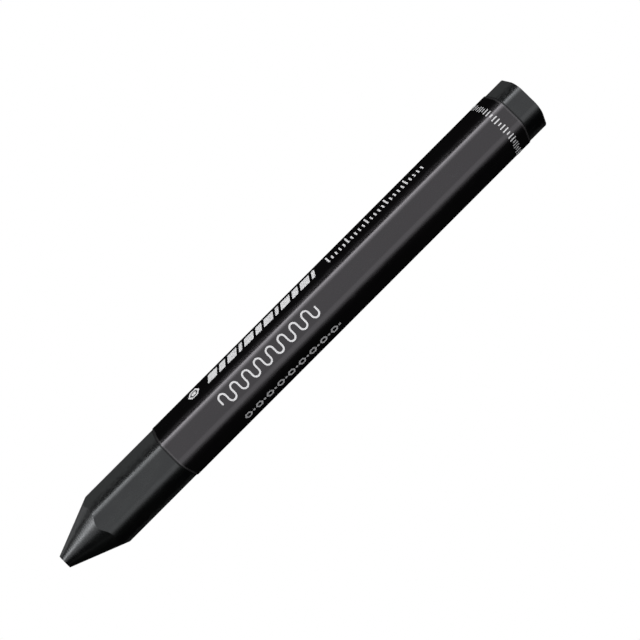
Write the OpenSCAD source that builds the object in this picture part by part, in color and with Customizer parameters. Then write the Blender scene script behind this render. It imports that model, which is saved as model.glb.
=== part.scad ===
// Hexagonal marking crayon: one moulded wax stick with a turned point, in a
// printed paper sleeve that is wound round it and pasted to itself.
// The stick lies along X with its writing tip at -X. Millimetres, +Z up.
// Origin: on the surface that the crayon lies on, under the middle of its length.

/* [Wax stick] */
// Length of the stick from the flat of the tip to the butt
stick_length = 120; // [80:1:180]
// Width of the wax across two opposite facets
across_flats = 11; // [9:0.1:16]
// Radius of the long edges between the facets
edge_radius = 3; // [1:0.1:3]
// Diameter of the small flat at the writing tip
tip_flat = 2.8; // [1:0.1:4]
// Angle between the side of the turned point and its axis, in degrees
point_angle = 21.3; // [15:0.1:35]

/* [Paper sleeve] */
// Distance from the tip to the front edge of the sleeve
bare_front = 29.0; // [24:0.1:40]
// Bare wax left showing behind the sleeve
bare_rear = 4.3; // [1:0.1:20]
// Thickness of the printed paper
paper = 0.13; // [0.1:0.01:0.2]
// Room between the wax and the paper, which lets the sleeve slide
slide_gap = 0.03; // [0.02:0.01:0.06]

/* [Pasted lap] */
// Run over which the paper climbs onto its own inner end
climb = 0.4; // [0.2:0.1:0.5]
// Flat paper between the facet's rounded edge and the climb
lap_inset = 0.15; // [0.1:0.05:0.3]
// How far the outer end of the paper turns round the next edge, in degrees
lap_turn = 15; // [15:15:30]
// Thickness of the paste in the lap
paste = 0.03; // [0.02:0.01:0.05]

/* [Hidden] */

facets = 6;
facet_turn = 360 / facets;
// A long edge's round is drawn in straight steps of this many degrees
edge_step = 15;

// Faces of each layer, measured square to a facet from the surface of the wax
paper_in = slide_gap;
paper_out = paper_in + paper;
lap_in = paper_out + paste;
lap_out = lap_in + paper;

apothem = across_flats / 2;
edge_centre = (apothem - edge_radius) / cos(facet_turn / 2);
// Half the flat part of a facet, between its two rounded edges
flat_half = (apothem - edge_radius) * tan(facet_turn / 2);
// The bottom facet faces this way in a section, and the next edge follows it
bottom = -90;
next_edge = bottom + facet_turn / 2;
// Where the inner end of the paper starts, from the middle of the bottom facet
lap_start = lap_inset + climb - flat_half;

axis_z = apothem + paper_out;
sleeve_length = stick_length - bare_front - bare_rear;

// The turned point is cut from a cone that runs out past the stick's corners
cone_r = across_flats;
tip_r = tip_flat / 2;
cone_length = (cone_r - tip_r) / tan(point_angle);

// Point of an edge's round that faces one way, on a layer at one distance
function on_edge(edge, way, out) = [
    edge_centre * cos(edge) + (edge_radius + out) * cos(way),
    edge_centre * sin(edge) + (edge_radius + out) * sin(way)
];

// Section of the stick with every face moved out, from the bottom facet round
function around(out) = [
    for (k = [0 : facets - 1], turn = [0 : edge_step : facet_turn])
        on_edge(next_edge + facet_turn * k, bottom + facet_turn * k + turn, out)
];

// Line of the lap on a layer: along the bottom facet and into the next edge
function along_lap(from, turn, out) = concat(
    [[from, -apothem - out]],
    [for (way = [bottom : edge_step : bottom + turn]) on_edge(next_edge, way, out)]
);

function backwards(points) = [for (i = [len(points) - 1 : -1 : 0]) points[i]];

// Stands a section up along the stick, with the lap on the lower rear facet
module along_stick(start, run) {
    translate([start - stick_length / 2, 0, axis_z])
        rotate([90, 0, 90])
            linear_extrude(height = run)
                rotate(facet_turn)
                    children();
}

// The turned point, and behind it all the space that the stick needs
module turned_envelope() {
    translate([-stick_length / 2, 0, axis_z])
        rotate([0, 90, 0])
            rotate_extrude($fn = 180)
                polygon([
                    [0, 0],
                    [tip_r, 0],
                    [cone_r, cone_length],
                    [cone_r, stick_length],
                    [0, stick_length]
                ]);
}

module wax_stick() {
    color([0.20, 0.21, 0.21])
        intersection() {
            along_stick(0, stick_length) polygon(around(0));
            turned_envelope();
        }
}

// One sheet: once round the stick, up over its own inner end, and back
module paper_sleeve() {
    color([0.07, 0.07, 0.08])
        along_stick(bare_front, sleeve_length)
            polygon(concat(
                [[lap_start, -apothem - paper_out]],
                around(paper_out),
                [[lap_start - climb, -apothem - paper_out]],
                along_lap(lap_start, lap_turn, lap_out),
                backwards(along_lap(lap_start, lap_turn, lap_in)),
                [[lap_start - climb, -apothem - paper_in]],
                backwards(around(paper_in)),
                [[lap_start, -apothem - paper_in]]
            ));
}

// The paste stops where the flat of the facet ends, short of the free edge
module seam_paste() {
    color([0.86, 0.82, 0.68])
        along_stick(bare_front, sleeve_length)
            polygon(concat(
                along_lap(lap_start + slide_gap, 0, lap_in),
                backwards(along_lap(lap_start + slide_gap, 0, paper_out))
            ));
}

wax_stick();
paper_sleeve();
seam_paste();
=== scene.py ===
# %% [markdown]
# # A hexagonal marking crayon
# The real object is a moulded stick of black wax with a turned point, in a
# glossy paper sleeve that is wound once round it and pasted to itself. This
# lesson dresses the engineering model of that crayon. It reads the sizes from
# the frame, models the wax, the paper and the printed marks with the tools that
# a person uses in Blender, and gives each of them the finish of the real thing.

# %% Load the frame
import math

import bpy
from mathutils import Matrix, Vector


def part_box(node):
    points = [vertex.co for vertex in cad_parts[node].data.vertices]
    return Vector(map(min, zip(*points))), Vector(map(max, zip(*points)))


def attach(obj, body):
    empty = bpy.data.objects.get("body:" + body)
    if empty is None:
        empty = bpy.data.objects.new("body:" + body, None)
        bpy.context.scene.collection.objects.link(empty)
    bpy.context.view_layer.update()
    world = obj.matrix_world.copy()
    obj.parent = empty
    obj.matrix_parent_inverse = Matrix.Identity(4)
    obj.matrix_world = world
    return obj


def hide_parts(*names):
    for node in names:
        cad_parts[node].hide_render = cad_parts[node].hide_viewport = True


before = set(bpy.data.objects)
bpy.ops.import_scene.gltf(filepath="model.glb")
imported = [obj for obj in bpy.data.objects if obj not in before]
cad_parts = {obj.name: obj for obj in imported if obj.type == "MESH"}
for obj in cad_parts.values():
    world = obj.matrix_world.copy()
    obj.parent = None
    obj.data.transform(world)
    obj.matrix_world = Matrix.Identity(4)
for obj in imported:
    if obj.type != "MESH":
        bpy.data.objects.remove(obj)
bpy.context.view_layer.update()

MM = 0.001

# %% [markdown]
# The sizes of the wax come from the frame, so the looks can't drift away from
# the design. The box of the stick gives its length, its width across the flats and
# its width across the rounded edges. Those two widths fix the radius of the
# edges, because a rounded hexagon of one size has only one such radius.

# %% Measure the stick
HAIR = 0.001 * MM
NEAR = 0.01 * MM
wax_low, wax_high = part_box("wax_stick")
HALF_TURN = math.pi
FACET_TURN = HALF_TURN / 3
HALF_FACET = FACET_TURN / 2
axis_z = (wax_low.z + wax_high.z) / 2
apothem = (wax_high.z - wax_low.z) / 2
half_width = (wax_high.y - wax_low.y) / 2
edge_radius = (apothem - half_width * math.cos(HALF_FACET)) / (1 - math.cos(HALF_FACET))
flat_half = (apothem - edge_radius) * math.tan(HALF_FACET)
stick_length = wax_high.x - wax_low.x
print(f"across flats {2 * apothem / MM:.2f} mm, edge radius {edge_radius / MM:.2f} mm")

# %% [markdown]
# The point is a cone that a lathe cut on the hexagonal stick. Its small flat is
# the ring of lowest x, and its slope runs from that ring to the first place
# where the stick has its full width.

# %% Measure the point
stick_points = [v.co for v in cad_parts["wax_stick"].data.vertices]


def off_axis(point):
    """Distance of a point from the stick's axis."""
    return math.hypot(point.y, point.z - axis_z)


tip_radius = max(off_axis(p) for p in stick_points if p.x < wax_low.x + NEAR)
full_width = max(off_axis(p) for p in stick_points)
shoulder_x = min(p.x for p in stick_points if off_axis(p) > full_width - NEAR)
point_slope = (full_width - tip_radius) / (shoulder_x - wax_low.x)
print(f"tip {2 * tip_radius / MM:.2f} mm, side {math.degrees(math.atan(point_slope)):.1f} degrees")

# %% [markdown]
# The box of the sleeve tells where the paper starts and ends and how far it
# stands out from the wax. A box can't tell how thick the paper and the paste
# are, or how long the climb of the lap is, so those three repeat the design.

# %% Measure the sleeve
sleeve_low, sleeve_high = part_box("paper_sleeve")
PAPER = 0.13 * MM
CLIMB = 0.4 * MM
PASTE = 0.03 * MM
paper_out = sleeve_high.z - wax_high.z
lap_out = paper_out + PASTE + PAPER
sleeve_length = sleeve_high.x - sleeve_low.x
sleeve_middle = (sleeve_low.x + sleeve_high.x) / 2
print(f"sleeve {sleeve_length / MM:.1f} mm long, {paper_out / MM:.2f} mm proud of the wax")

# %% [markdown]
# The camera comes before the pieces. It stands almost straight above the
# crayon and a hand's length away, so the near facet looks a little larger than
# the far edges, and the crayon crosses the picture from the lower left to the
# upper right. A camera looks along its own -Z, so its turn is built from three
# directions: right, up and back.

# %% Camera
CAMERA_PLACE = Vector((5.5, -9.3, 189.0)) * MM
CAMERA_AIM = Vector((5.1, -1.75, 5.66)) * MM
CAMERA_UP = Vector((1, 1, 0))
CAMERA_LENS = 55.8
SENSOR_WIDE = 36
NEAREST_SEEN = 10 * MM

back = (CAMERA_PLACE - CAMERA_AIM).normalized()
right = CAMERA_UP.cross(back).normalized()
turned = Matrix((right, back.cross(right), back)).transposed()
bpy.ops.object.camera_add(location=CAMERA_PLACE, rotation=turned.to_euler())
camera = bpy.context.object
camera.name = "studio_camera"
camera.data.lens = CAMERA_LENS
camera.data.sensor_width = SENSOR_WIDE
camera.data.clip_start = NEAREST_SEEN
bpy.context.scene.camera = camera
print("camera stands", round((CAMERA_PLACE - CAMERA_AIM).length / MM), "mm away")

# %% [markdown]
# ## Small helpers
# An operator works on everything that is selected, and a freshly loaded frame
# is all selected. So each step starts by choosing one piece, and in edit mode
# the faces, edges or corners are chosen by a test on where they are.

# %% Choosing a piece and its parts
def choose(piece):
    """Makes a piece the only selected and active object, in object mode."""
    if bpy.context.object and bpy.context.object.mode != "OBJECT":
        bpy.ops.object.mode_set(mode="OBJECT")
    bpy.ops.object.select_all(action="DESELECT")
    piece.select_set(True)
    bpy.context.view_layer.objects.active = piece


KINDS = {
    "vertices": (True, False, False),
    "edges": (False, True, False),
    "polygons": (False, False, True),
}


def pick(piece, kind, test):
    """Goes to edit mode with only the vertices, edges or polygons that pass a test selected."""
    choose(piece)
    mesh = piece.data
    for group in (mesh.vertices, mesh.edges, mesh.polygons):
        group.foreach_set("select", [False] * len(group))
    found = [item for item in getattr(mesh, kind) if test(item)]
    for item in found:
        item.select = True
    bpy.context.tool_settings.mesh_select_mode = KINDS[kind]
    bpy.ops.object.mode_set(mode="EDIT")
    return len(found)


def ends_of(piece, edge):
    """The two end points of an edge."""
    return [piece.data.vertices[i].co for i in edge.vertices]


def runs_along(piece, edge):
    """True for an edge that runs along the stick and hardly to the side."""
    a, b = ends_of(piece, edge)
    return math.hypot(a.y - b.y, a.z - b.z) < 0.01 * abs(a.x - b.x)


# %% Adding and applying
def settle(piece):
    """Puts a piece's place and turn into its mesh, so that its object sits at the origin."""
    choose(piece)
    bpy.ops.object.transform_apply(location=True, rotation=True, scale=True)


def modify(piece, kind, **settings):
    """Adds one modifier with its settings and applies it."""
    choose(piece)
    bpy.ops.object.modifier_add(type=kind)
    modifier = piece.modifiers[-1]
    for name, value in settings.items():
        setattr(modifier, name, value)
    bpy.ops.object.modifier_apply(modifier=modifier.name)


def smooth(piece, degrees):
    """Smooth shading up to an angle, with the normals of the larger faces kept true."""
    choose(piece)
    bpy.ops.object.shade_smooth_by_angle(angle=math.radians(degrees))
    modify(piece, "WEIGHTED_NORMAL", mode="FACE_AREA", weight=100, keep_sharp=True)


def hexagonal_bar(name, out, start_x, length, caps, steps):
    """A hexagonal prism along the stick, with its long edges rounded."""
    sharp_radius = (apothem + out) / math.cos(HALF_FACET)
    bpy.ops.mesh.primitive_cylinder_add(
        vertices=6, radius=sharp_radius, depth=length, end_fill_type=caps,
        location=(start_x + length / 2, 0, axis_z), rotation=(0, math.pi / 2, 0),
    )
    piece = bpy.context.object
    piece.name = name
    piece.data.name = name
    settle(piece)
    pick(piece, "edges", lambda edge: runs_along(piece, edge))
    bpy.ops.mesh.bevel(
        offset_type="OFFSET", offset=(edge_radius + out) * math.tan(HALF_FACET),
        segments=steps, profile=0.5, affect="EDGES", clamp_overlap=False,
    )
    bpy.ops.object.mode_set(mode="OBJECT")
    return piece


# %% [markdown]
# ## The wax stick
# The stick is cast as a hexagonal bar with soft edges, and its point is turned
# on a lathe, so the cone bites a curved scallop into every facet. It could be
# lofted from sections, but the scallops come out true when it is made as the
# factory makes it: a bar, and a cone that cuts it. The cutter here is the space
# that is kept, a cone whose wide end is extruded into a barrel, and a Boolean
# modifier keeps what the bar and that space share.

# %% The bar
EDGE_STEPS = 12
wax = hexagonal_bar("wax_crayon", 0, wax_low.x, stick_length, "NGON", EDGE_STEPS)
print("bar faces", len(wax.data.polygons))

# %% The space that the lathe leaves
ROOM = 2 * MM
CONE_SIDES = 180
cone_radius = full_width + ROOM
cone_length = (cone_radius - tip_radius) / point_slope
bpy.ops.mesh.primitive_cone_add(
    vertices=CONE_SIDES, radius1=tip_radius, radius2=cone_radius, depth=cone_length,
    location=(wax_low.x + cone_length / 2, 0, axis_z), rotation=(0, math.pi / 2, 0),
)
lathe_space = bpy.context.object
lathe_space.name = "lathe_space"
settle(lathe_space)
wide_end = wax_low.x + cone_length - MM
pick(lathe_space, "polygons", lambda face: face.center.x > wide_end)
bpy.ops.mesh.extrude_region_move(TRANSFORM_OT_translate={"value": (stick_length, 0, 0)})
bpy.ops.object.mode_set(mode="OBJECT")
print("barrel ends at", round(max(v.co.x for v in lathe_space.data.vertices) / MM, 1), "mm")

# %% Turn the point
WELD = 0.002 * MM
modify(wax, "BOOLEAN", operation="INTERSECT", solver="EXACT", object=lathe_space)
choose(lathe_space)
bpy.ops.object.delete()
pick(wax, "vertices", lambda vertex: True)
bpy.ops.mesh.remove_doubles(threshold=WELD)
bpy.ops.mesh.dissolve_degenerate(threshold=WELD)
bpy.ops.object.mode_set(mode="OBJECT")
print("turned stick faces", len(wax.data.polygons))

# %% [markdown]
# The tip of a crayon wears where it meets the paper. A slanted cut through the
# middle of the tip takes its upper half back by a few tenths of a millimetre.

# %% Wear the tip
CUT_EXACTLY = 1e-7
WEAR_SLANT = math.radians(18)
wear_way = Vector((-math.cos(WEAR_SLANT), 0, math.sin(WEAR_SLANT)))
pick(wax, "polygons", lambda face: True)
bpy.ops.mesh.bisect(
    plane_co=(wax_low.x, 0, axis_z), plane_no=wear_way, use_fill=True, clear_outer=True,
    threshold=CUT_EXACTLY,
)
bpy.ops.object.mode_set(mode="OBJECT")
print("worn back by", round(tip_radius * math.tan(WEAR_SLANT) / MM, 2), "mm at the top")

# %% [markdown]
# Wax never keeps a knife-sharp border. The rim of the tip, the border between
# cone and facets and the rim of the butt are the edges where neighbouring faces
# meet at more than the few degrees of the long rounds, so they are picked by
# that angle and get a fine bevel. The butt is then sunk a little, because wax
# shrinks as it cools, and it shrinks most in the middle.

# %% Soften the borders
BORDER_ANGLE = math.radians(12)
SOFT_BORDER = 0.1 * MM
pick(wax, "edges", lambda edge: False)
bpy.ops.mesh.edges_select_sharp(sharpness=BORDER_ANGLE)
bpy.ops.mesh.bevel(
    offset_type="OFFSET", offset=SOFT_BORDER, segments=3, profile=0.5,
    affect="EDGES", clamp_overlap=True, miter_outer="SHARP",
)
bpy.ops.object.mode_set(mode="OBJECT")
print("softened stick faces", len(wax.data.polygons))

# %% Sink the butt
SHADE_SMOOTH_UNDER = 25
butt_x = wax_high.x - HAIR
SINK_STEPS = ((0.35, 0.005), (0.55, 0.03), (0.8, 0.025), (0.9, 0.01))
pick(wax, "polygons", lambda face: face.center.x > butt_x and face.normal.x > 0.99)
for inset, sink in SINK_STEPS:
    bpy.ops.mesh.inset(thickness=inset * MM, depth=0)
    bpy.ops.transform.translate(value=(-sink * MM, 0, 0))
bpy.ops.object.mode_set(mode="OBJECT")
smooth(wax, SHADE_SMOOTH_UNDER)
print(f"butt sunk {sum(sink for _, sink in SINK_STEPS):.2f} mm, faces", len(wax.data.polygons))

# %% [markdown]
# ## The paper sleeve
# The sleeve is one sheet: it starts on a lower facet, runs once round the stick,
# climbs over its own start and ends just round the next edge. It is modelled
# the same way. An open bar without ends is the outer face of the sheet. A strip
# is cut out of the lap's facet, the free edge is extruded up and along the lap,
# and a Solidify modifier gives the sheet its thickness inwards. That modifier
# also gives the inside and the cut rim materials of their own, which is what
# shows the raw paper at the sleeve's ends.

# %% The sheet round the stick
sleeve = hexagonal_bar("printed_sleeve", paper_out, sleeve_low.x, sleeve_length, "NOTHING", EDGE_STEPS)
print("sheet faces", len(sleeve.data.polygons))

# %% [markdown]
# The lap's facet is one sixth of a turn from the bottom. Two directions describe
# it: straight out of the facet, and along it towards the free edge of the sheet.
# The pasted strip tells where the lap starts.

# %% Directions of the lap
lap_outward = Vector((0, math.sin(FACET_TURN), -math.cos(FACET_TURN)))
lap_along = Vector((0, math.cos(FACET_TURN), math.sin(FACET_TURN)))
axis_point = Vector((0, 0, axis_z))
paste_points = [v.co - axis_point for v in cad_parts["seam_paste"].data.vertices]
lap_start = min(p.dot(lap_along) for p in paste_points) - PASTE
print(f"lap starts {lap_start / MM:.2f} mm from the middle of its facet")


def lap_place(along, out):
    """A point on the lap's facet, at a distance along it and a height above the wax."""
    return axis_point + lap_along * along + lap_outward * (apothem + out)


# %% Cut the strip where the sheet climbs
def on_lap_facet(face):
    """True for the flat face or faces of the lap's facet."""
    return face.normal.dot(lap_outward) > math.cos(math.radians(1))


for along in (lap_start, lap_start - CLIMB):
    pick(sleeve, "polygons", on_lap_facet)
    bpy.ops.mesh.bisect(plane_co=lap_place(along, 0), plane_no=lap_along, threshold=CUT_EXACTLY)
strip_middle = lap_start - CLIMB / 2
half_strip = 0.49 * CLIMB
cut = pick(
    sleeve, "polygons",
    lambda face: on_lap_facet(face)
    and abs((face.center - axis_point).dot(lap_along) - strip_middle) < half_strip,
)
bpy.ops.mesh.delete(type="FACE")
bpy.ops.object.mode_set(mode="OBJECT")
print("faces cut out", cut)

# %% Lay the free edge over the lap
LAP_TURN = math.radians(15)
LAP_STEPS = 5


def round_place(turn, out):
    """A point on the rounded edge that follows the lap's facet."""
    way = -HALF_FACET + turn
    centre = axis_point + Vector((0, (apothem - edge_radius) / math.cos(HALF_FACET), 0))
    return centre + Vector((0, math.cos(way), math.sin(way))) * (edge_radius + out)


free_edge = lap_place(lap_start - CLIMB, paper_out)
route = [lap_place(lap_start, lap_out)]
route += [round_place(LAP_TURN * k / LAP_STEPS, lap_out) for k in range(LAP_STEPS + 1)]
pick(
    sleeve, "edges",
    lambda edge: runs_along(sleeve, edge)
    and all((p - free_edge - Vector((p.x, 0, 0))).length < NEAR for p in ends_of(sleeve, edge)),
)
here = free_edge
for place in route:
    bpy.ops.mesh.extrude_edges_move(TRANSFORM_OT_translate={"value": place - here})
    here = place
bpy.ops.mesh.select_all(action="SELECT")
bpy.ops.mesh.normals_make_consistent(inside=False)
bpy.ops.object.mode_set(mode="OBJECT")
top_face = max(sleeve.data.polygons, key=lambda face: face.center.z)
print("sheet faces", len(sleeve.data.polygons), "top normal", round(top_face.normal.z, 2))

# %% [markdown]
# The sheet now gets its thickness, and the modifier counts up the material of
# each kind of face: first the printed face, then the raw inside, then the cut
# rim. So the sheet gets three empty slots. Even thickness keeps the rounds
# parallel where the sheet turns.

# %% Give the sheet its thickness
KINDS_OF_FACE = 3
for _ in range(KINDS_OF_FACE):
    sleeve.data.materials.append(None)
modify(
    sleeve, "SOLIDIFY", thickness=PAPER, offset=-1, use_even_offset=True,
    use_rim=True, material_offset=1, material_offset_rim=2,
)
print("sleeve faces", len(sleeve.data.polygons))

# %% [markdown]
# A knife presses the printed side of the paper down a little where it cuts. The
# outer border of each cut end gets a very fine bevel, which keeps the print.

# %% Soften the cut ends
CUT_SOFT = 0.03 * MM


def borders_of(piece, material_index):
    """Numbers of the edges that a material's faces share with the other faces."""
    count = {}
    for face in piece.data.polygons:
        if face.material_index == material_index:
            for key in face.edge_keys:
                count[key] = count.get(key, 0) + 1
    return {e.index for e in piece.data.edges if count.get(e.key) == 1}


printed_borders = borders_of(sleeve, 0)


def is_cut_border(edge):
    """True for an outer edge of the sleeve's two cut ends."""
    ends = ends_of(sleeve, edge)
    at_end = all(min(abs(p.x - sleeve_low.x), abs(p.x - sleeve_high.x)) < HAIR for p in ends)
    return at_end and edge.index in printed_borders


softened = pick(sleeve, "edges", is_cut_border)
bpy.ops.mesh.bevel(
    offset_type="OFFSET", offset=CUT_SOFT, segments=2, profile=0.5,
    affect="EDGES", clamp_overlap=True, material=0,
)
bpy.ops.object.mode_set(mode="OBJECT")
smooth(sleeve, SHADE_SMOOTH_UNDER)
print("softened", softened, "borders, sleeve faces", len(sleeve.data.polygons))

# %% [markdown]
# ## The printed marks
# The sleeve carries white print on its upper facets and a fine ring of marks
# near its rear end. Ink has a thickness of a few thousandths of a millimetre.
# It could be painted in the paper's material, but a mark with its own edges
# stays crisp at any distance and is its own piece for whoever reuses the
# crayon. Nearly every mark is modelled flat above the X axis, copied along the
# stick where it repeats, and then turned onto its facet. The marks are plain
# shapes: slanted blocks, hexagons, ticks and a wave.

# %% Placing a mark on a facet
INK_PROUD = 0.012 * MM
INK_DEEP = 0.03 * MM
INK_MIDDLE = (INK_PROUD - INK_DEEP) / 2
INK_THICK = INK_PROUD + INK_DEEP
INK_SMOOTH_UNDER = 30
face_height = apothem + paper_out


def from_tip(millimetres):
    """The x of a distance behind the writing tip."""
    return wax_low.x + millimetres * MM


def lift(piece, facet):
    """Turns a flat mark onto a facet: 0 is the top, 1 the +Y side and -1 the -Y side."""
    piece.location.z = 0
    settle(piece)
    piece.rotation_euler.x = -facet * FACET_TURN
    piece.location.z = axis_z
    settle(piece)
    smooth(piece, INK_SMOOTH_UNDER)


def ink_slab(name, x, y, width, height):
    """A thin box of ink, with its middle at x and y on the top facet's plane."""
    bpy.ops.mesh.primitive_cube_add(
        size=1, location=(x, y, face_height + INK_MIDDLE), scale=(width, height, INK_THICK),
    )
    piece = bpy.context.object
    piece.name = name
    piece.data.name = name
    settle(piece)
    return piece


def is_upright(piece, edge):
    """True for an edge that stands square to the top facet."""
    a, b = ends_of(piece, edge)
    return abs(a.z - b.z) > 0.9 * INK_THICK


def round_corners(piece, radius):
    """Rounds the standing corners of a flat mark."""
    pick(piece, "edges", lambda edge: is_upright(piece, edge))
    bpy.ops.mesh.bevel(offset_type="OFFSET", offset=radius, segments=4, profile=0.5, affect="EDGES")
    bpy.ops.object.mode_set(mode="OBJECT")


def join(name, pieces):
    """Joins marks into one piece."""
    choose(pieces[0])
    for piece in pieces:
        piece.select_set(True)
    bpy.ops.object.join()
    joined = bpy.context.object
    joined.name = name
    joined.data.name = name
    return joined


# %% [markdown]
# The bold row on the +Y facet is a band of slanted blocks in three widths. A
# block is a slab whose upper edge is pushed forward, with its corners rounded.
# A small hexagon in a hexagonal ring leads the row, and behind it stands a
# scale of ticks, with a tall tick at every fifth step.

# %% Slanted blocks
BLOCK_TALL = 2.5 * MM
SLANT = 0.75 * MM
BLOCK_WIDTHS = (2.3, 1.5, 2.3, 0.8)
BLOCK_GAP = 0.62
BLOCK_CORNER = 0.16 * MM
ROW_START = 42.6
ROW_REPEATS = 3


def slanted_block(name, x, width):
    """A block of ink that leans forward."""
    piece = ink_slab(name, x, 0, width, BLOCK_TALL)
    pick(piece, "vertices", lambda vertex: vertex.co.y > 0)
    bpy.ops.transform.translate(value=(SLANT, 0, 0))
    round_corners(piece, BLOCK_CORNER)
    return piece


blocks = []
reach = ROW_START
for number, width in enumerate(BLOCK_WIDTHS):
    blocks.append(slanted_block(f"block_{number}", from_tip(reach + width / 2), width * MM))
    reach += width + BLOCK_GAP
slanted_row = join("print_slanted_blocks", blocks)
modify(
    slanted_row, "ARRAY", count=ROW_REPEATS, use_relative_offset=False,
    use_constant_offset=True, constant_offset_displace=((reach - ROW_START) * MM, 0, 0),
)
lift(slanted_row, 1)
print("blocks end", round(ROW_START + ROW_REPEATS * (reach - ROW_START), 1), "mm behind the tip")

# %% Hexagon that leads the row
EMBLEM_X = from_tip(39.3)
EMBLEM_OUT = 1.42 * MM
EMBLEM_HOLE = 1.0 * MM
EMBLEM_CORE = 0.62 * MM


def hexagon(name, x, radius, hole):
    """A flat hexagon of ink, or a hexagonal ring when it has a hole."""
    bpy.ops.mesh.primitive_cylinder_add(
        vertices=6, radius=radius, depth=INK_THICK,
        location=(x, 0, face_height + INK_MIDDLE), rotation=(0, 0, HALF_FACET),
    )
    piece = bpy.context.object
    piece.name = name
    settle(piece)
    if hole:
        for side in (1, -1):
            pick(piece, "polygons", lambda face: face.normal.z * side > 0.9)
            bpy.ops.mesh.inset(thickness=radius - hole, depth=0)
            bpy.ops.object.mode_set(mode="OBJECT")
        pick(
            piece, "polygons",
            lambda face: abs(face.normal.z) > 0.9 and abs(face.center.x - x) < NEAR
            and len(face.vertices) == 6,
        )
        bpy.ops.mesh.bridge_edge_loops()
        bpy.ops.object.mode_set(mode="OBJECT")
    return piece


emblem = join("print_hexagon", [
    hexagon("ring", EMBLEM_X, EMBLEM_OUT, EMBLEM_HOLE),
    hexagon("core", EMBLEM_X, EMBLEM_CORE, 0),
])
lift(emblem, 1)
print("emblem faces", len(emblem.data.polygons))

# %% Scale of ticks
SCALE_START = 73.8
TICK_PITCH = 1.0
TICKS = 25
TICK_WIDE = 0.34 * MM
TICK_TALL = 2.4 * MM
TICK_SHORT = 1.35 * MM
TICK_FOOT = -1.2 * MM
TICK_CORNER = 0.08 * MM


def scale_tick(number):
    """One tick of the scale, tall at every fifth step."""
    tall = TICK_TALL if number % 5 == 0 else TICK_SHORT
    x = from_tip(SCALE_START + number * TICK_PITCH)
    piece = ink_slab(f"tick_{number}", x, TICK_FOOT + tall / 2, TICK_WIDE, tall)
    round_corners(piece, TICK_CORNER)
    return piece


tick_scale = join("print_tick_scale", [scale_tick(number) for number in range(TICKS)])
lift(tick_scale, 1)
print("scale ends", SCALE_START + (TICKS - 1) * TICK_PITCH, "mm behind the tip")

# %% [markdown]
# The top facet carries thin line-work: a wave, like a stroke that the crayon
# itself would draw. It could be a curve with a width, but a curve has round
# ends and no flat underside. Here the stroke's end is one small face that stands
# on the facet. It is extruded up a flank and spun round a crest, then extruded
# down and spun round a trough, so the stroke keeps its width all the way.

# %% Wave
WAVE_START = 42.1
WAVE_RADIUS = 0.75 * MM
WAVES = 8
WAVE_TALL = 2.5 * MM
STROKE = 0.34 * MM
SPIN_STEPS = 10


def wave_turn(x, height, angle):
    """Spins the end of the stroke half a turn round a point of the top facet."""
    bpy.ops.mesh.spin(
        steps=SPIN_STEPS, angle=angle, center=(x, height, face_height), axis=(0, 0, 1),
    )


def wave_flank(rise):
    """Draws the end of the stroke straight up or down."""
    bpy.ops.mesh.extrude_region_move(TRANSFORM_OT_translate={"value": (0, rise, 0)})


flank = WAVE_TALL / 2 - WAVE_RADIUS
stroke_x = from_tip(WAVE_START)
bpy.ops.mesh.primitive_plane_add(
    size=1, location=(stroke_x, -flank, face_height + INK_MIDDLE), rotation=(math.pi / 2, 0, 0),
)
wave = bpy.context.object
wave.name = "print_wave"
wave.data.name = "print_wave"
wave.scale = (STROKE, INK_THICK, 1)
settle(wave)
pick(wave, "polygons", lambda face: True)
for number in range(WAVES):
    wave_flank(2 * flank)
    wave_turn(stroke_x + WAVE_RADIUS, flank, math.pi)
    wave_flank(-2 * flank)
    wave_turn(stroke_x + 3 * WAVE_RADIUS, -flank, -math.pi)
    stroke_x += 4 * WAVE_RADIUS
wave_flank(2 * flank)
bpy.ops.mesh.select_all(action="SELECT")
bpy.ops.mesh.normals_make_consistent(inside=False)
bpy.ops.object.mode_set(mode="OBJECT")
wave_end = (stroke_x - wax_low.x) / MM
print(f"wave from {WAVE_START} to {wave_end:.1f} mm, faces", len(wave.data.polygons))
lift(wave, 0)

# %% [markdown]
# The facet on the -Y side has a small row in grey ink, like a string of beads:
# a hexagonal ring and a small solid hexagon, repeated.

# %% Row of beads
BEADS_START = 42.9
BEADS_PITCH = 2.75
BEADS_REPEATS = 9
BEAD_OUT = 0.90
BEAD_HOLE = 0.56
DOT_OUT = 0.30
DOT_AWAY = 2.27
beads = join("print_beads", [
    hexagon("bead_ring", from_tip(BEADS_START + BEAD_OUT), BEAD_OUT * MM, BEAD_HOLE * MM),
    hexagon("bead_dot", from_tip(BEADS_START + DOT_AWAY), DOT_OUT * MM, 0),
])
modify(
    beads, "ARRAY", count=BEADS_REPEATS, use_relative_offset=False,
    use_constant_offset=True, constant_offset_displace=(BEADS_PITCH * MM, 0, 0),
)
lift(beads, -1)
print("beads end", round(BEADS_START + BEADS_REPEATS * BEADS_PITCH, 1), "mm behind the tip")

# %% [markdown]
# The ring near the rear end is a row of short ticks that follows the section
# round: along the flat of a facet, round the soft edge, and along the next
# flat. Each tick is turned to stand square to the paper at its own distance
# round the section, and every third one is shorter.

# %% Ring of ticks
RING_FROM_TIP = 112.7
RING_TALL = 1.3 * MM
RING_WIDE = 0.22 * MM
RING_LOW = 0.6
RING_CORNER = 0.06 * MM
RING_TICKS = 25
RING_REACH = 1.42
edge_out = edge_radius + paper_out
side_run = 2 * flat_half + edge_out * FACET_TURN


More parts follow.
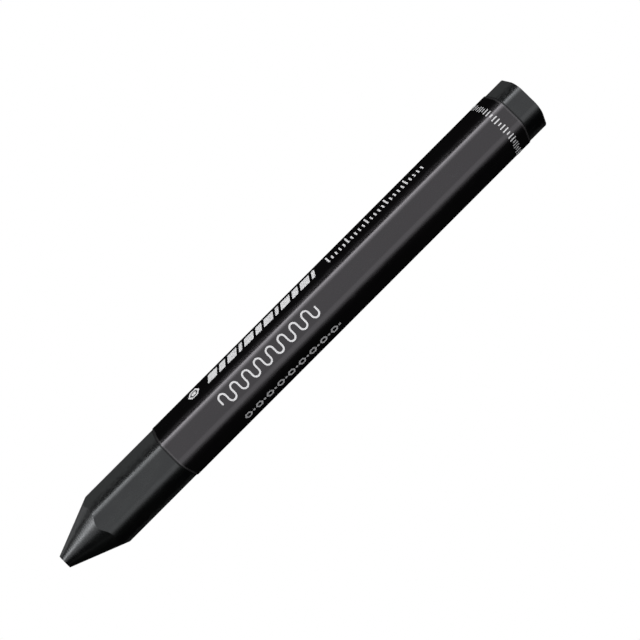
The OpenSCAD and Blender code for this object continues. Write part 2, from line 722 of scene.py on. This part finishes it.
def round_section(run):
    """Place and turn on the section at a distance round it from the middle of the top facet."""
    side = math.floor(run / side_run + 0.5)
    rest = run - side * side_run
    turn = 0
    if abs(rest) > flat_half:
        turn = math.copysign((abs(rest) - flat_half) / edge_out, rest)
        rest = math.copysign(flat_half, rest)
    corner = Vector((0, rest, apothem - edge_radius))
    place = corner + Vector((0, math.sin(turn), math.cos(turn))) * edge_out
    facet = Matrix.Rotation(-side * FACET_TURN, 3, "X")
    return facet @ place, -side * FACET_TURN - turn


ring_ticks = []
for number in range(RING_TICKS):
    share = number / (RING_TICKS - 1) - 0.5
    place, turn = round_section(2 * share * RING_REACH * side_run)
    tall = RING_TALL * (1 if number % 3 else RING_LOW)
    bpy.ops.mesh.primitive_cube_add(size=1, scale=(tall, RING_WIDE, INK_THICK))
    tick = bpy.context.object
    settle(tick)
    round_corners(tick, RING_CORNER)
    tick.rotation_euler.x = turn
    tick.location = place + Vector((from_tip(RING_FROM_TIP), 0, axis_z))
    settle(tick)
    ring_ticks.append(tick)
ring = join("print_ring", ring_ticks)
smooth(ring, INK_SMOOTH_UNDER)
print("ring ticks", RING_TICKS, "faces", len(ring.data.polygons))

# %% [markdown]
# ## Finishes
# A material is a small network of nodes. The helpers below add a node, join two
# sockets and do one sum, so that each network reads from its inputs to its
# shader. Positions come from Object coordinates, which are metres on a finished
# piece, and are first turned into millimetres.

# %% Building networks
def add(tree, kind, **settings):
    """Adds a node and sets its properties."""
    made = tree.nodes.new(kind)
    for name, value in settings.items():
        setattr(made, name, value)
    return made


def feed(tree, socket, value):
    """Links a socket to another, or sets it to a plain value."""
    if isinstance(value, bpy.types.NodeSocket):
        tree.links.new(value, socket)
    else:
        socket.default_value = value


def calculate(tree, operation, *values, clamp=False):
    """One sum, and its result."""
    made = add(tree, "ShaderNodeMath", operation=operation, use_clamp=clamp)
    for socket, value in zip(made.inputs, values):
        feed(tree, socket, value)
    return made.outputs[0]


def ramp(tree, value, low, high, to_low=0.0, to_high=1.0):
    """Turns a value between low and high into a smooth step between two results."""
    made = add(tree, "ShaderNodeMapRange", interpolation_type="SMOOTHSTEP")
    for socket, number in zip(made.inputs[:5], (value, low, high, to_low, to_high)):
        feed(tree, socket, number)
    return made.outputs[0]


def blend_colours(tree, share, first, second):
    """Mixes two colours."""
    made = add(tree, "ShaderNodeMix", data_type="RGBA")
    colours = [socket for socket in made.inputs if socket.type == "RGBA"]
    feed(tree, made.inputs[0], share)
    feed(tree, colours[0], first)
    feed(tree, colours[1], second)
    return next(socket for socket in made.outputs if socket.type == "RGBA")


def stretch(tree, place, scale, shift=(0, 0, 0)):
    """Scales a position, each way on its own."""
    made = add(tree, "ShaderNodeMapping")
    feed(tree, made.inputs["Vector"], place)
    made.inputs["Scale"].default_value = scale
    made.inputs["Location"].default_value = shift
    return made.outputs[0]


def noise(tree, place, scale, detail, roughness=0.5):
    """Soft noise between 0 and 1, its scale in cells for each millimetre."""
    made = add(tree, "ShaderNodeTexNoise")
    feed(tree, made.inputs["Vector"], place)
    made.inputs["Scale"].default_value = scale
    made.inputs["Detail"].default_value = detail
    made.inputs["Roughness"].default_value = roughness
    return made.outputs[0]


# %% [markdown]
# A group is a network that several materials share. It is built once, with
# named inputs for what differs, and each material places it with its own values.

# %% Groups and their sockets
SOCKET_KINDS = {"value": "NodeSocketFloat", "vector": "NodeSocketVector"}


def start_group(name, inputs, outputs):
    """A node group with its sockets, each given as (name, kind, default)."""
    group = bpy.data.node_groups.new(name, "ShaderNodeTree")
    for way, sockets in (("INPUT", inputs), ("OUTPUT", outputs)):
        for label, kind, default in sockets:
            made = group.interface.new_socket(label, in_out=way, socket_type=SOCKET_KINDS[kind])
            if default is not None:
                made.default_value = default
    return group, add(group, "NodeGroupInput").outputs, add(group, "NodeGroupOutput").inputs


def use_group(tree, group, **values):
    """Places a group in a network and feeds its inputs by name."""
    made = add(tree, "ShaderNodeGroup", node_tree=group)
    for label, value in values.items():
        feed(tree, made.inputs[label.replace("_", " ")], value)
    return made.outputs


# %% [markdown]
# The long edges of the crayon rub against everything in a pencil case, on the
# bare wax and on the paper alike, so their wear is one group for both. A bevel
# node would find them only in a render. Here the angle round the stick's axis
# tells how far a point is from the nearest long edge, and noise breaks the worn
# band up into streaks along the stick.

# %% Long edge wear
edge_wear, given, result = start_group(
    "long_edge_wear",
    [("Place", "vector", None), ("Width", "value", 0.7), ("Broken", "value", 0.5)],
    [("Worn", "value", None)],
)
parts = add(edge_wear, "ShaderNodeSeparateXYZ")
feed(edge_wear, parts.inputs[0], given["Place"])
height = calculate(edge_wear, "SUBTRACT", parts.outputs["Z"], axis_z / MM)
angle = calculate(edge_wear, "ARCTAN2", height, parts.outputs["Y"])
from_edge = calculate(edge_wear, "PINGPONG", angle, HALF_FACET)
away = calculate(edge_wear, "MULTIPLY", from_edge, half_width / MM)
streaks = noise(edge_wear, stretch(edge_wear, given["Place"], (0.22, 1.6, 1.6)), 1.0, 4.0, 0.6)
swing = calculate(edge_wear, "SUBTRACT", streaks, 0.5)
roughened = calculate(edge_wear, "MULTIPLY_ADD", swing, given["Broken"], away)
band = calculate(edge_wear, "DIVIDE", roughened, given["Width"])
feed(edge_wear, result["Worn"], ramp(edge_wear, band, 1.0, 0.0))
print("group", edge_wear.name)

# %% [markdown]
# Both paper and wax have a fine unevenness, only at another size. One group
# gives it as a height for the bump and as a tone for colour and roughness.

# %% Fine grain
grain, given, result = start_group(
    "fine_grain",
    [("Place", "vector", None), ("Cells", "value", 4.0), ("Lengthwise", "value", 1.0)],
    [("Height", "value", None), ("Tone", "value", None)],
)
squeeze = add(grain, "ShaderNodeCombineXYZ")
feed(grain, squeeze.inputs[0], given["Lengthwise"])
feed(grain, squeeze.inputs[1], 1.0)
feed(grain, squeeze.inputs[2], 1.0)
squeezed = add(grain, "ShaderNodeVectorMath", operation="MULTIPLY")
feed(grain, squeezed.inputs[0], given["Place"])
feed(grain, squeezed.inputs[1], squeeze.outputs[0])
fine = add(grain, "ShaderNodeTexNoise")
feed(grain, fine.inputs["Vector"], squeezed.outputs[0])
feed(grain, fine.inputs["Scale"], given["Cells"])
fine.inputs["Detail"].default_value = 5.0
fine.inputs["Roughness"].default_value = 0.6
feed(grain, result["Height"], fine.outputs[0])
broad = add(grain, "ShaderNodeTexNoise")
feed(grain, broad.inputs["Vector"], squeezed.outputs[0])
feed(grain, broad.inputs["Scale"], calculate(grain, "MULTIPLY", given["Cells"], 0.12))
broad.inputs["Detail"].default_value = 3.0
feed(grain, result["Tone"], ramp(grain, broad.outputs[0], 0.3, 0.7))
print("group", grain.name)

# %% [markdown]
# Scratches are thin, mostly run along the stick and have a length of a few
# millimetres. A very stretched noise gives thin lines where it crosses one
# value, and a second, broad noise decides where there are any at all.

# %% Fine scratches
scratches, given, result = start_group(
    "fine_scratches",
    [("Place", "vector", None), ("Amount", "value", 0.5), ("Thin", "value", 0.012)],
    [("Scratched", "value", None)],
)
lengthwise = noise(scratches, stretch(scratches, given["Place"], (0.16, 1.3, 1.3)), 1.0, 2.0)
line = calculate(scratches, "ABSOLUTE", calculate(scratches, "SUBTRACT", lengthwise, 0.5))
thin_line = ramp(scratches, calculate(scratches, "DIVIDE", line, given["Thin"]), 1.0, 0.2)
crossing = noise(scratches, stretch(scratches, given["Place"], (0.8, 0.5, 0.5), (7, 3, 1)), 1.0, 2.0)
cross = calculate(scratches, "ABSOLUTE", calculate(scratches, "SUBTRACT", crossing, 0.47))
cross_line = ramp(scratches, calculate(scratches, "DIVIDE", cross, given["Thin"]), 0.5, 0.1)
spread = noise(scratches, stretch(scratches, given["Place"], (0.35, 0.8, 0.8), (3, 9, 4)), 1.0, 2.0)
places = ramp(scratches, spread, 0.5, 0.62)
either = calculate(scratches, "MAXIMUM", thin_line, cross_line)
both = calculate(scratches, "MULTIPLY", either, places)
feed(scratches, result["Scratched"], calculate(scratches, "MULTIPLY", both, given["Amount"]))
print("group", scratches.name)

# %% [markdown]
# Every material starts in the same way, with its shader and with a position in
# millimetres. Two more helpers feed the bump and measure along the sleeve.

# %% Starting a material
def start_material(name, viewport_colour):
    """A material with its network, its shader and positions in millimetres."""
    material = bpy.data.materials.new(name)
    material.use_nodes = True
    material.diffuse_color = (*viewport_colour, 1)
    tree = material.node_tree
    shader = next(n for n in tree.nodes if n.type == "BSDF_PRINCIPLED")
    place = add(tree, "ShaderNodeTexCoord").outputs["Object"]
    millimetres = stretch(tree, place, (1 / MM, 1 / MM, 1 / MM))
    return material, tree, shader, millimetres


def bump(tree, shader, height, strength, distance):
    """Feeds a height to the shader's normal through a Bump node."""
    made = add(tree, "ShaderNodeBump")
    made.inputs["Strength"].default_value = strength
    made.inputs["Distance"].default_value = distance
    feed(tree, made.inputs["Height"], height)
    feed(tree, shader.inputs["Normal"], made.outputs[0])


def from_sleeve_middle(tree, x):
    """Distance along the stick from the middle of the sleeve, in millimetres."""
    return calculate(tree, "ABSOLUTE", calculate(tree, "SUBTRACT", x, sleeve_middle / MM))


half_sleeve = sleeve_length / MM / 2
print("the sleeve reaches", round(half_sleeve, 2), "mm either way")

# %% [markdown]
# ## Black wax
# Marking wax is pigment in hard wax: nearly black, with a soft satin shine. A
# thin grey bloom lies on two opposite sides of the stick and over the butt, and
# it is paler where the lathe has opened the wax. On the two sides this pale
# colour is partly bloom and partly a painted sheen: on the +Y side of the bar
# and of the cone it stands for the light that falls there. A sheen would show
# on every facet alike, so it is painted as a colour. The turned cone has faint
# rings from the lathe, and the bar has faint lines from the mould. The cone is
# told from the facets by its distance from the axis, because only on the cone
# does that distance grow with x alone. A narrow ring beside each end of the
# sleeve is a painted shadow: it is dark and dull, and it stands for the shade
# under the paper's edge.

# %% Wax material
WAX_BLACK = (0.0008, 0.0009, 0.0012, 1)
WAX_MOTTLED = (0.0022, 0.0026, 0.0024, 1)
# The two pale colours below are partly grey bloom and lathe-opened wax, and partly a painted sheen for
# the light on the +Y side of the bar and the cone.
WAX_BLOOM_AND_SHEEN = (0.041, 0.043, 0.043, 1)
WAX_TURNED_AND_SHEEN = (0.080, 0.082, 0.083, 1)
WAX_RUBBED = (0.010, 0.0105, 0.0105, 1)
# A painted shadow: the dark colour of the ring beside each end of the sleeve, for the shade under the
# paper's edge.
WAX_PAINTED_SHADE = (0.0010, 0.0010, 0.0010, 1)
WAX_SHINE = 0.21
WAX_IOR = 1.67
# Where round the stick the bloom and painted sheen are full, and where they fade out.
SHEEN_SIDE_TURN = math.radians(20)
SHEEN_SIDE_FULL = math.radians(20)
SHEEN_SIDE_ENDS = math.radians(45)
BUTT_BLOOM = 0.4
RING_PITCH = 0.50
# Distances in millimetres from the sleeve's end, and strength, of that painted shadow ring.
SHADE_RING_FULL = 0.22
SHADE_RING_ENDS = 0.42
SHADE_RING_STRENGTH = 0.65

wax_look, tree, shader, place = start_material("black_wax", (0.035, 0.037, 0.037))
parts = add(tree, "ShaderNodeSeparateXYZ")
feed(tree, parts.inputs[0], place)
along = calculate(tree, "SUBTRACT", parts.outputs["X"], wax_low.x / MM)
aside = parts.outputs["Y"]
above = calculate(tree, "SUBTRACT", parts.outputs["Z"], axis_z / MM)
aside_squared = calculate(tree, "MULTIPLY", aside, aside)
above_squared = calculate(tree, "MULTIPLY", above, above)
off = calculate(tree, "SQRT", calculate(tree, "ADD", aside_squared, above_squared))
cone_here = calculate(tree, "MULTIPLY_ADD", along, point_slope, tip_radius / MM)
on_cone = ramp(tree, calculate(tree, "SUBTRACT", cone_here, off), 0.06, 0.02)

mottle = use_group(tree, grain, Place=place, Cells=3.0, Lengthwise=0.5)
pores = use_group(tree, grain, Place=place, Cells=11.0, Lengthwise=0.8)
mould = use_group(tree, grain, Place=place, Cells=5.0, Lengthwise=0.03)
worn = use_group(tree, edge_wear, Place=place, Width=0.8, Broken=1.1)["Worn"]
scratched = use_group(tree, scratches, Place=place, Amount=0.7, Thin=0.01)["Scratched"]

wobble = noise(tree, place, 0.7, 2.0)
ring_place = calculate(tree, "MULTIPLY_ADD", wobble, 0.9, calculate(tree, "DIVIDE", along, RING_PITCH))
ripples = calculate(tree, "SINE", calculate(tree, "MULTIPLY", ring_place, math.tau))
rings = calculate(tree, "MULTIPLY", ripples, on_cone)

from_middle = from_sleeve_middle(tree, parts.outputs["X"])
from_end = calculate(tree, "ABSOLUTE", calculate(tree, "SUBTRACT", from_middle, half_sleeve))
# Painted shadow: a dark, dull ring beside each end of the sleeve, fixed on the wax, for the shade under
# the paper's edge.
painted_crease_shade = ramp(tree, from_end, SHADE_RING_ENDS, SHADE_RING_FULL, 0.0, SHADE_RING_STRENGTH)
# Bloom and painted sheen: the pale wax is full about 20 degrees from +Y towards the top, where the
# light falls, and on the opposite side.
around_axis = calculate(tree, "ARCTAN2", above, aside)
past_sheen_side = calculate(tree, "SUBTRACT", around_axis, SHEEN_SIDE_TURN)
from_sheen_side = calculate(tree, "PINGPONG", past_sheen_side, HALF_TURN / 2)
unevenness = calculate(tree, "SUBTRACT", mottle["Height"], 0.5)
patchy = calculate(tree, "MULTIPLY_ADD", unevenness, 0.5, from_sheen_side)
side_bloom_and_sheen = ramp(tree, patchy, SHEEN_SIDE_ENDS, SHEEN_SIDE_FULL)
on_butt = ramp(tree, along, stick_length / MM - 0.12, stick_length / MM - 0.06)
bloom_and_sheen_change = calculate(tree, "SUBTRACT", BUTT_BLOOM, side_bloom_and_sheen)
bloom_and_sheen = calculate(tree, "MULTIPLY_ADD", on_butt, bloom_and_sheen_change, side_bloom_and_sheen)
colour = blend_colours(tree, mottle["Tone"], WAX_BLACK, WAX_MOTTLED)
turned_share = calculate(tree, "MULTIPLY_ADD", rings, 0.25, on_cone)
pale = blend_colours(tree, turned_share, WAX_BLOOM_AND_SHEEN, WAX_TURNED_AND_SHEEN)
# Blends in the bloom and painted sheen.
colour = blend_colours(tree, bloom_and_sheen, colour, pale)
colour = blend_colours(tree, calculate(tree, "MULTIPLY", worn, 0.45), colour, WAX_RUBBED)
colour = blend_colours(tree, scratched, colour, WAX_RUBBED)
# Blends in the painted shadow ring.
colour = blend_colours(tree, painted_crease_shade, colour, WAX_PAINTED_SHADE)
feed(tree, shader.inputs["Base Color"], colour)

shine = calculate(tree, "MULTIPLY_ADD", mottle["Tone"], 0.05, WAX_SHINE)
shine = calculate(tree, "MULTIPLY_ADD", pores["Height"], 0.05, shine)
shine = calculate(tree, "MULTIPLY_ADD", bloom_and_sheen, 0.12, shine)
shine = calculate(tree, "MULTIPLY_ADD", on_butt, 0.2, shine)
# The painted shadow ring is also rougher and less shiny, which darkens it further.
feed(tree, shader.inputs["Roughness"], calculate(tree, "MULTIPLY_ADD", painted_crease_shade, 0.3, shine))
feed(tree, shader.inputs["Specular IOR Level"], calculate(tree, "MULTIPLY_ADD", painted_crease_shade, -0.45, 0.5))
shader.inputs["IOR"].default_value = WAX_IOR
shader.inputs["Specular Tint"].default_value = (0.94, 0.97, 1.0, 1)

relief = calculate(tree, "MULTIPLY_ADD", mould["Height"], 0.5, pores["Height"])
relief = calculate(tree, "MULTIPLY_ADD", rings, 0.45, relief)
relief = calculate(tree, "MULTIPLY_ADD", scratched, -0.7, relief)
bump(tree, shader, relief, 0.5, 0.012 * MM)
print("wax nodes", len(tree.nodes))

# %% [markdown]
# ## Varnished print
# The outside of the sleeve is printed solid black and varnished. Under the
# varnish the fibres of the paper still show as a very soft unevenness. Wear
# takes the varnish off the long edges and, at the two cut ends, lets grey paper
# through. Handling leaves fine scratches that are duller than the varnish.

# %% Printed face material
PRINT_BLACK = (0.0022, 0.0020, 0.0022, 1)
PRINT_TONE = (0.0028, 0.0025, 0.0028, 1)
PRINT_RUBBED = (0.014, 0.013, 0.014, 1)
PAPER_FRAYED = (0.030, 0.029, 0.030, 1)
PRINT_SHINE = 0.19
PRINT_IOR = 1.75

print_look, tree, shader, place = start_material("varnished_print", (0.006, 0.006, 0.007))
parts = add(tree, "ShaderNodeSeparateXYZ")
feed(tree, parts.inputs[0], place)
fibres = use_group(tree, grain, Place=place, Cells=5.0, Lengthwise=0.45)
varnish = use_group(tree, grain, Place=place, Cells=1.6, Lengthwise=0.3)
worn = use_group(tree, edge_wear, Place=place, Width=0.5, Broken=1.4)["Worn"]
scratched = use_group(tree, scratches, Place=place, Amount=0.45, Thin=0.007)["Scratched"]
from_cut = calculate(tree, "SUBTRACT", half_sleeve, from_sleeve_middle(tree, parts.outputs["X"]))
ragged = calculate(tree, "MULTIPLY_ADD", fibres["Height"], -0.12, from_cut)
frayed = ramp(tree, ragged, 0.30, 0.18)

colour = blend_colours(tree, varnish["Tone"], PRINT_BLACK, PRINT_TONE)
colour = blend_colours(tree, calculate(tree, "MULTIPLY", worn, 0.35), colour, PRINT_RUBBED)
colour = blend_colours(tree, calculate(tree, "MULTIPLY", scratched, 0.5), colour, PRINT_RUBBED)
colour = blend_colours(tree, frayed, colour, PAPER_FRAYED)
feed(tree, shader.inputs["Base Color"], colour)

shine = calculate(tree, "MULTIPLY_ADD", varnish["Tone"], 0.03, PRINT_SHINE)
shine = calculate(tree, "MULTIPLY_ADD", worn, 0.06, shine)
shine = calculate(tree, "MULTIPLY_ADD", scratched, 0.2, shine)
shine = calculate(tree, "MULTIPLY_ADD", frayed, 0.05, shine)
feed(tree, shader.inputs["Roughness"], shine)
shader.inputs["IOR"].default_value = PRINT_IOR
shader.inputs["Specular Tint"].default_value = (0.98, 0.94, 1.0, 1)

relief = calculate(tree, "MULTIPLY_ADD", varnish["Height"], 0.8, fibres["Height"])
relief = calculate(tree, "MULTIPLY_ADD", scratched, -0.5, relief)
bump(tree, shader, relief, 0.12, 0.006 * MM)
print("print nodes", len(tree.nodes))

# %% [markdown]
# ## Raw paper
# Inside and at its cut rim the sheet is plain, slightly warm paper. The rim is
# denser and a little darker, because the knife pulls some of the black down.

# %% Raw paper materials
def raw_paper(name, light, dark, dullness):
    """Unprinted paper, with fibres in its colour, shine and relief."""
    material, tree, shader, place = start_material(name, light[:3])
    fibres = use_group(tree, grain, Place=place, Cells=9.0, Lengthwise=0.4)
    flecks = use_group(tree, grain, Place=place, Cells=16.0, Lengthwise=1.0)
    share = calculate(tree, "MULTIPLY", fibres["Height"], flecks["Tone"])
    feed(tree, shader.inputs["Base Color"], blend_colours(tree, share, light, dark))
    shine = calculate(tree, "MULTIPLY_ADD", flecks["Tone"], 0.08, dullness)
    feed(tree, shader.inputs["Roughness"], shine)
    shader.inputs["Sheen Weight"].default_value = 0.1
    bump(tree, shader, fibres["Height"], 0.5, 0.015 * MM)
    return material


inside_look = raw_paper("raw_paper_inside", (0.66, 0.62, 0.55, 1), (0.45, 0.41, 0.35, 1), 0.82)
rim_look = raw_paper("raw_paper_rim", (0.62, 0.60, 0.57, 1), (0.30, 0.28, 0.27, 1), 0.85)
print("paper materials", inside_look.name, rim_look.name)

# %% [markdown]
# ## Ink and paste
# The white ink lies on the black print, so it is never quite even: it is a
# touch thinner in places and has fine pinholes. The bold marks have a full coat
# of it and the fine line-work a thinner one, and the small row has a duller,
# greyer ink. The paste of the lap has dried to a dull yellowish film with small
# bubbles.

# %% Ink materials
def printing_ink(name, full, thin, dullness):
    """Opaque ink with a soft unevenness and small pinholes."""
    material, tree, shader, place = start_material(name, full[:3])
    cover = use_group(tree, grain, Place=place, Cells=6.0, Lengthwise=0.7)
    pin = use_group(tree, grain, Place=place, Cells=14.0, Lengthwise=1.0)
    holes = ramp(tree, pin["Height"], 0.64, 0.74)
    worn = use_group(tree, edge_wear, Place=place, Width=0.45, Broken=1.2)["Worn"]
    share = calculate(tree, "MULTIPLY_ADD", cover["Tone"], 0.5, calculate(tree, "MULTIPLY", holes, 0.6))
    share = calculate(tree, "MULTIPLY_ADD", worn, 0.5, share, clamp=True)
    feed(tree, shader.inputs["Base Color"], blend_colours(tree, share, full, thin))
    shine = calculate(tree, "MULTIPLY_ADD", cover["Tone"], 0.1, dullness)
    feed(tree, shader.inputs["Roughness"], shine)
    bump(tree, shader, cover["Height"], 0.3, 0.004 * MM)
    return material


bold_ink = printing_ink("bold_white_ink", (0.92, 0.92, 0.93, 1), (0.72, 0.72, 0.74, 1), 0.38)
white_ink = printing_ink("white_ink", (0.70, 0.70, 0.71, 1), (0.56, 0.56, 0.58, 1), 0.38)
grey_ink = printing_ink("grey_ink", (0.66, 0.66, 0.67, 1), (0.50, 0.50, 0.52, 1), 0.42)
print("ink materials", bold_ink.name, white_ink.name, grey_ink.name)

# %% Paste material
PASTE_CLEAR = (0.60, 0.53, 0.36, 1)
PASTE_DARK = (0.36, 0.29, 0.17, 1)

paste_look, tree, shader, place = start_material("dried_paste", PASTE_CLEAR[:3])
film = use_group(tree, grain, Place=place, Cells=7.0, Lengthwise=0.6)
bubbles = add(tree, "ShaderNodeTexVoronoi", feature="F1")
feed(tree, bubbles.inputs["Vector"], place)
bubbles.inputs["Scale"].default_value = 5.0
bubble = ramp(tree, bubbles.outputs["Distance"], 0.32, 0.12)
feed(tree, shader.inputs["Base Color"], blend_colours(tree, film["Tone"], PASTE_CLEAR, PASTE_DARK))
feed(tree, shader.inputs["Roughness"], calculate(tree, "MULTIPLY_ADD", film["Tone"], 0.2, 0.45))
bump(tree, shader, calculate(tree, "MULTIPLY_ADD", bubble, -0.8, film["Height"]), 0.6, 0.02 * MM)
print("paste nodes", len(tree.nodes))

# %% [markdown]
# Each piece now gets its finish. The sleeve has three, so the number that each
# of its faces already holds is kept while its empty slots are filled.

# %% Give the pieces their finishes
def dress(piece, *looks):
    """Puts materials into a piece's slots, in order."""
    piece.data.materials.clear()
    for look in looks:
        piece.data.materials.append(look)


paste_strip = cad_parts["seam_paste"]
bold_prints = (slanted_row, emblem, tick_scale)
fine_prints = (wave, ring)
all_prints = (*bold_prints, *fine_prints, beads)
indices = [face.material_index for face in sleeve.data.polygons]
dress(sleeve, print_look, inside_look, rim_look)
sleeve.data.polygons.foreach_set("material_index", indices)
dress(wax, wax_look)
dress(paste_strip, paste_look)
dress(beads, grey_ink)
for piece in bold_prints:
    dress(piece, bold_ink)
for piece in fine_prints:
    dress(piece, white_ink)
print("sleeve faces by material", [indices.count(k) for k in range(KINDS_OF_FACE)])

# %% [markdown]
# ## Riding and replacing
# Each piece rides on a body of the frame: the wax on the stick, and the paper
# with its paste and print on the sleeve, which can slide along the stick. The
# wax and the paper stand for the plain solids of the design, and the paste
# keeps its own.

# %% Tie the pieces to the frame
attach(wax, "stick")
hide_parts("wax_stick")
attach(sleeve, "sleeve")
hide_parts("paper_sleeve")
for piece in all_prints:
    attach(piece, "sleeve")
print("pieces tied", 2 + len(all_prints))

# %% [markdown]
# ## Studio
# The crayon lies on a white sheet that fills the picture. Only the camera sees
# the floor and the pale world, so that neither of them brightens the lower
# facets, which stay black as on a dark table. The light comes from long, soft
# boxes that lie parallel to the crayon. Each of them draws one line of light
# along the rounded edges and facets: where it falls is set by the box's angle
# round the crayon, and how soft it is by the box's width. Each row below is a
# box's name, tilt, span, radiance and front end.

# %% Floor and world
FLOOR_WIDE = 6
bpy.ops.mesh.primitive_plane_add(size=FLOOR_WIDE, location=(0, 0, 0))
floor = bpy.context.object
floor.name = "white_floor"
floor.visible_diffuse = False
floor.visible_glossy = False
floor_look = bpy.data.materials.new("white_sheet")
floor_look.use_nodes = True
tree = floor_look.node_tree
tree.nodes.clear()
glow = add(tree, "ShaderNodeEmission")
glow.inputs["Color"].default_value = (1, 1, 1, 1)
glow.inputs["Strength"].default_value = 1.0
feed(tree, add(tree, "ShaderNodeOutputMaterial").inputs["Surface"], glow.outputs[0])
dress(floor, floor_look)

world = bpy.data.worlds.new("studio")
bpy.context.scene.world = world
world.use_nodes = True
tree = world.node_tree
backdrop = next(n for n in tree.nodes if n.type == "BACKGROUND")
rays = add(tree, "ShaderNodeLightPath")
ROOM_GLOW = 0.006
strength = calculate(tree, "MULTIPLY_ADD", rays.outputs["Is Camera Ray"], 1.0 - ROOM_GLOW, ROOM_GLOW)
backdrop.inputs["Color"].default_value = (1, 1, 1, 1)
feed(tree, backdrop.inputs["Strength"], strength)
bpy.context.scene.view_settings.view_transform = "Standard"
print("floor and world ready")

# %% Long soft boxes
BOX_AWAY = 0.55
BOX_FRONT = -1.6
BOX_SHORT_FRONT = -0.3
BOX_REAR = 0.9
SOFT_BOXES = (
    ("box_overhead", 0, 30, 0.75, BOX_FRONT),
    ("box_left_soft", 20, 10, 1.2, BOX_FRONT),
    ("box_left_wide", 30, 10, 2.3, BOX_FRONT),
    ("box_left_key", 40, 10, 4.8, BOX_FRONT),
    ("box_right", -30, 30, 1.1, BOX_SHORT_FRONT),
    ("box_right_low", -50, 10, 0.45, BOX_SHORT_FRONT),
)


def soft_box(name, tilt, span, radiance, front=BOX_FRONT):
    """A long area light parallel to the crayon.

    Tilt and span are degrees round the crayon, counted from straight up towards +Y.
    """
    turn = math.radians(tilt)
    away = Vector((0, math.sin(turn), math.cos(turn))) * BOX_AWAY
    middle = Vector(((front + BOX_REAR) / 2, 0, axis_z))
    bpy.ops.object.light_add(type="AREA", location=away + middle, rotation=(-turn, 0, 0))
    lamp = bpy.context.object
    lamp.name = name
    lamp.visible_camera = False
    lamp.data.shape = "RECTANGLE"
    lamp.data.size = BOX_REAR - front
    lamp.data.size_y = 2 * BOX_AWAY * math.tan(math.radians(span) / 2)
    lamp.data.energy = radiance * math.pi * lamp.data.size * lamp.data.size_y
    return lamp


for settings in SOFT_BOXES:
    soft_box(*settings)
print("long boxes", len(SOFT_BOXES))

# %% [markdown]
# The turned point and the butt look away from the long boxes, so each has a
# square box of its own beyond its end of the crayon. The one in front of the
# tip draws the bright line down the cone. A box is given by its name, the way
# to it, its size, its radiance and the x of the place that it looks at.

# %% Boxes at the ends
END_BOX_AWAY = 0.6


def end_box(name, way, size, radiance, target_x):
    """A square area light that looks at a point of the crayon's axis."""
    way = Vector(way).normalized()
    bpy.ops.object.light_add(
        type="AREA", location=way * END_BOX_AWAY + Vector((target_x, 0, axis_z)),
        rotation=way.to_track_quat("Z", "Y").to_euler(),
    )
    lamp = bpy.context.object
    lamp.name = name
    lamp.visible_camera = False
    lamp.data.shape = "SQUARE"
    lamp.data.size = size
    lamp.data.energy = radiance * math.pi * size ** 2


end_box("box_point", (-0.81, 0.45, 0.41), 0.24, 2.3, shoulder_x)
end_box("box_butt", (0.90, -0.25, 0.35), 0.40, 1.2, wax_high.x)
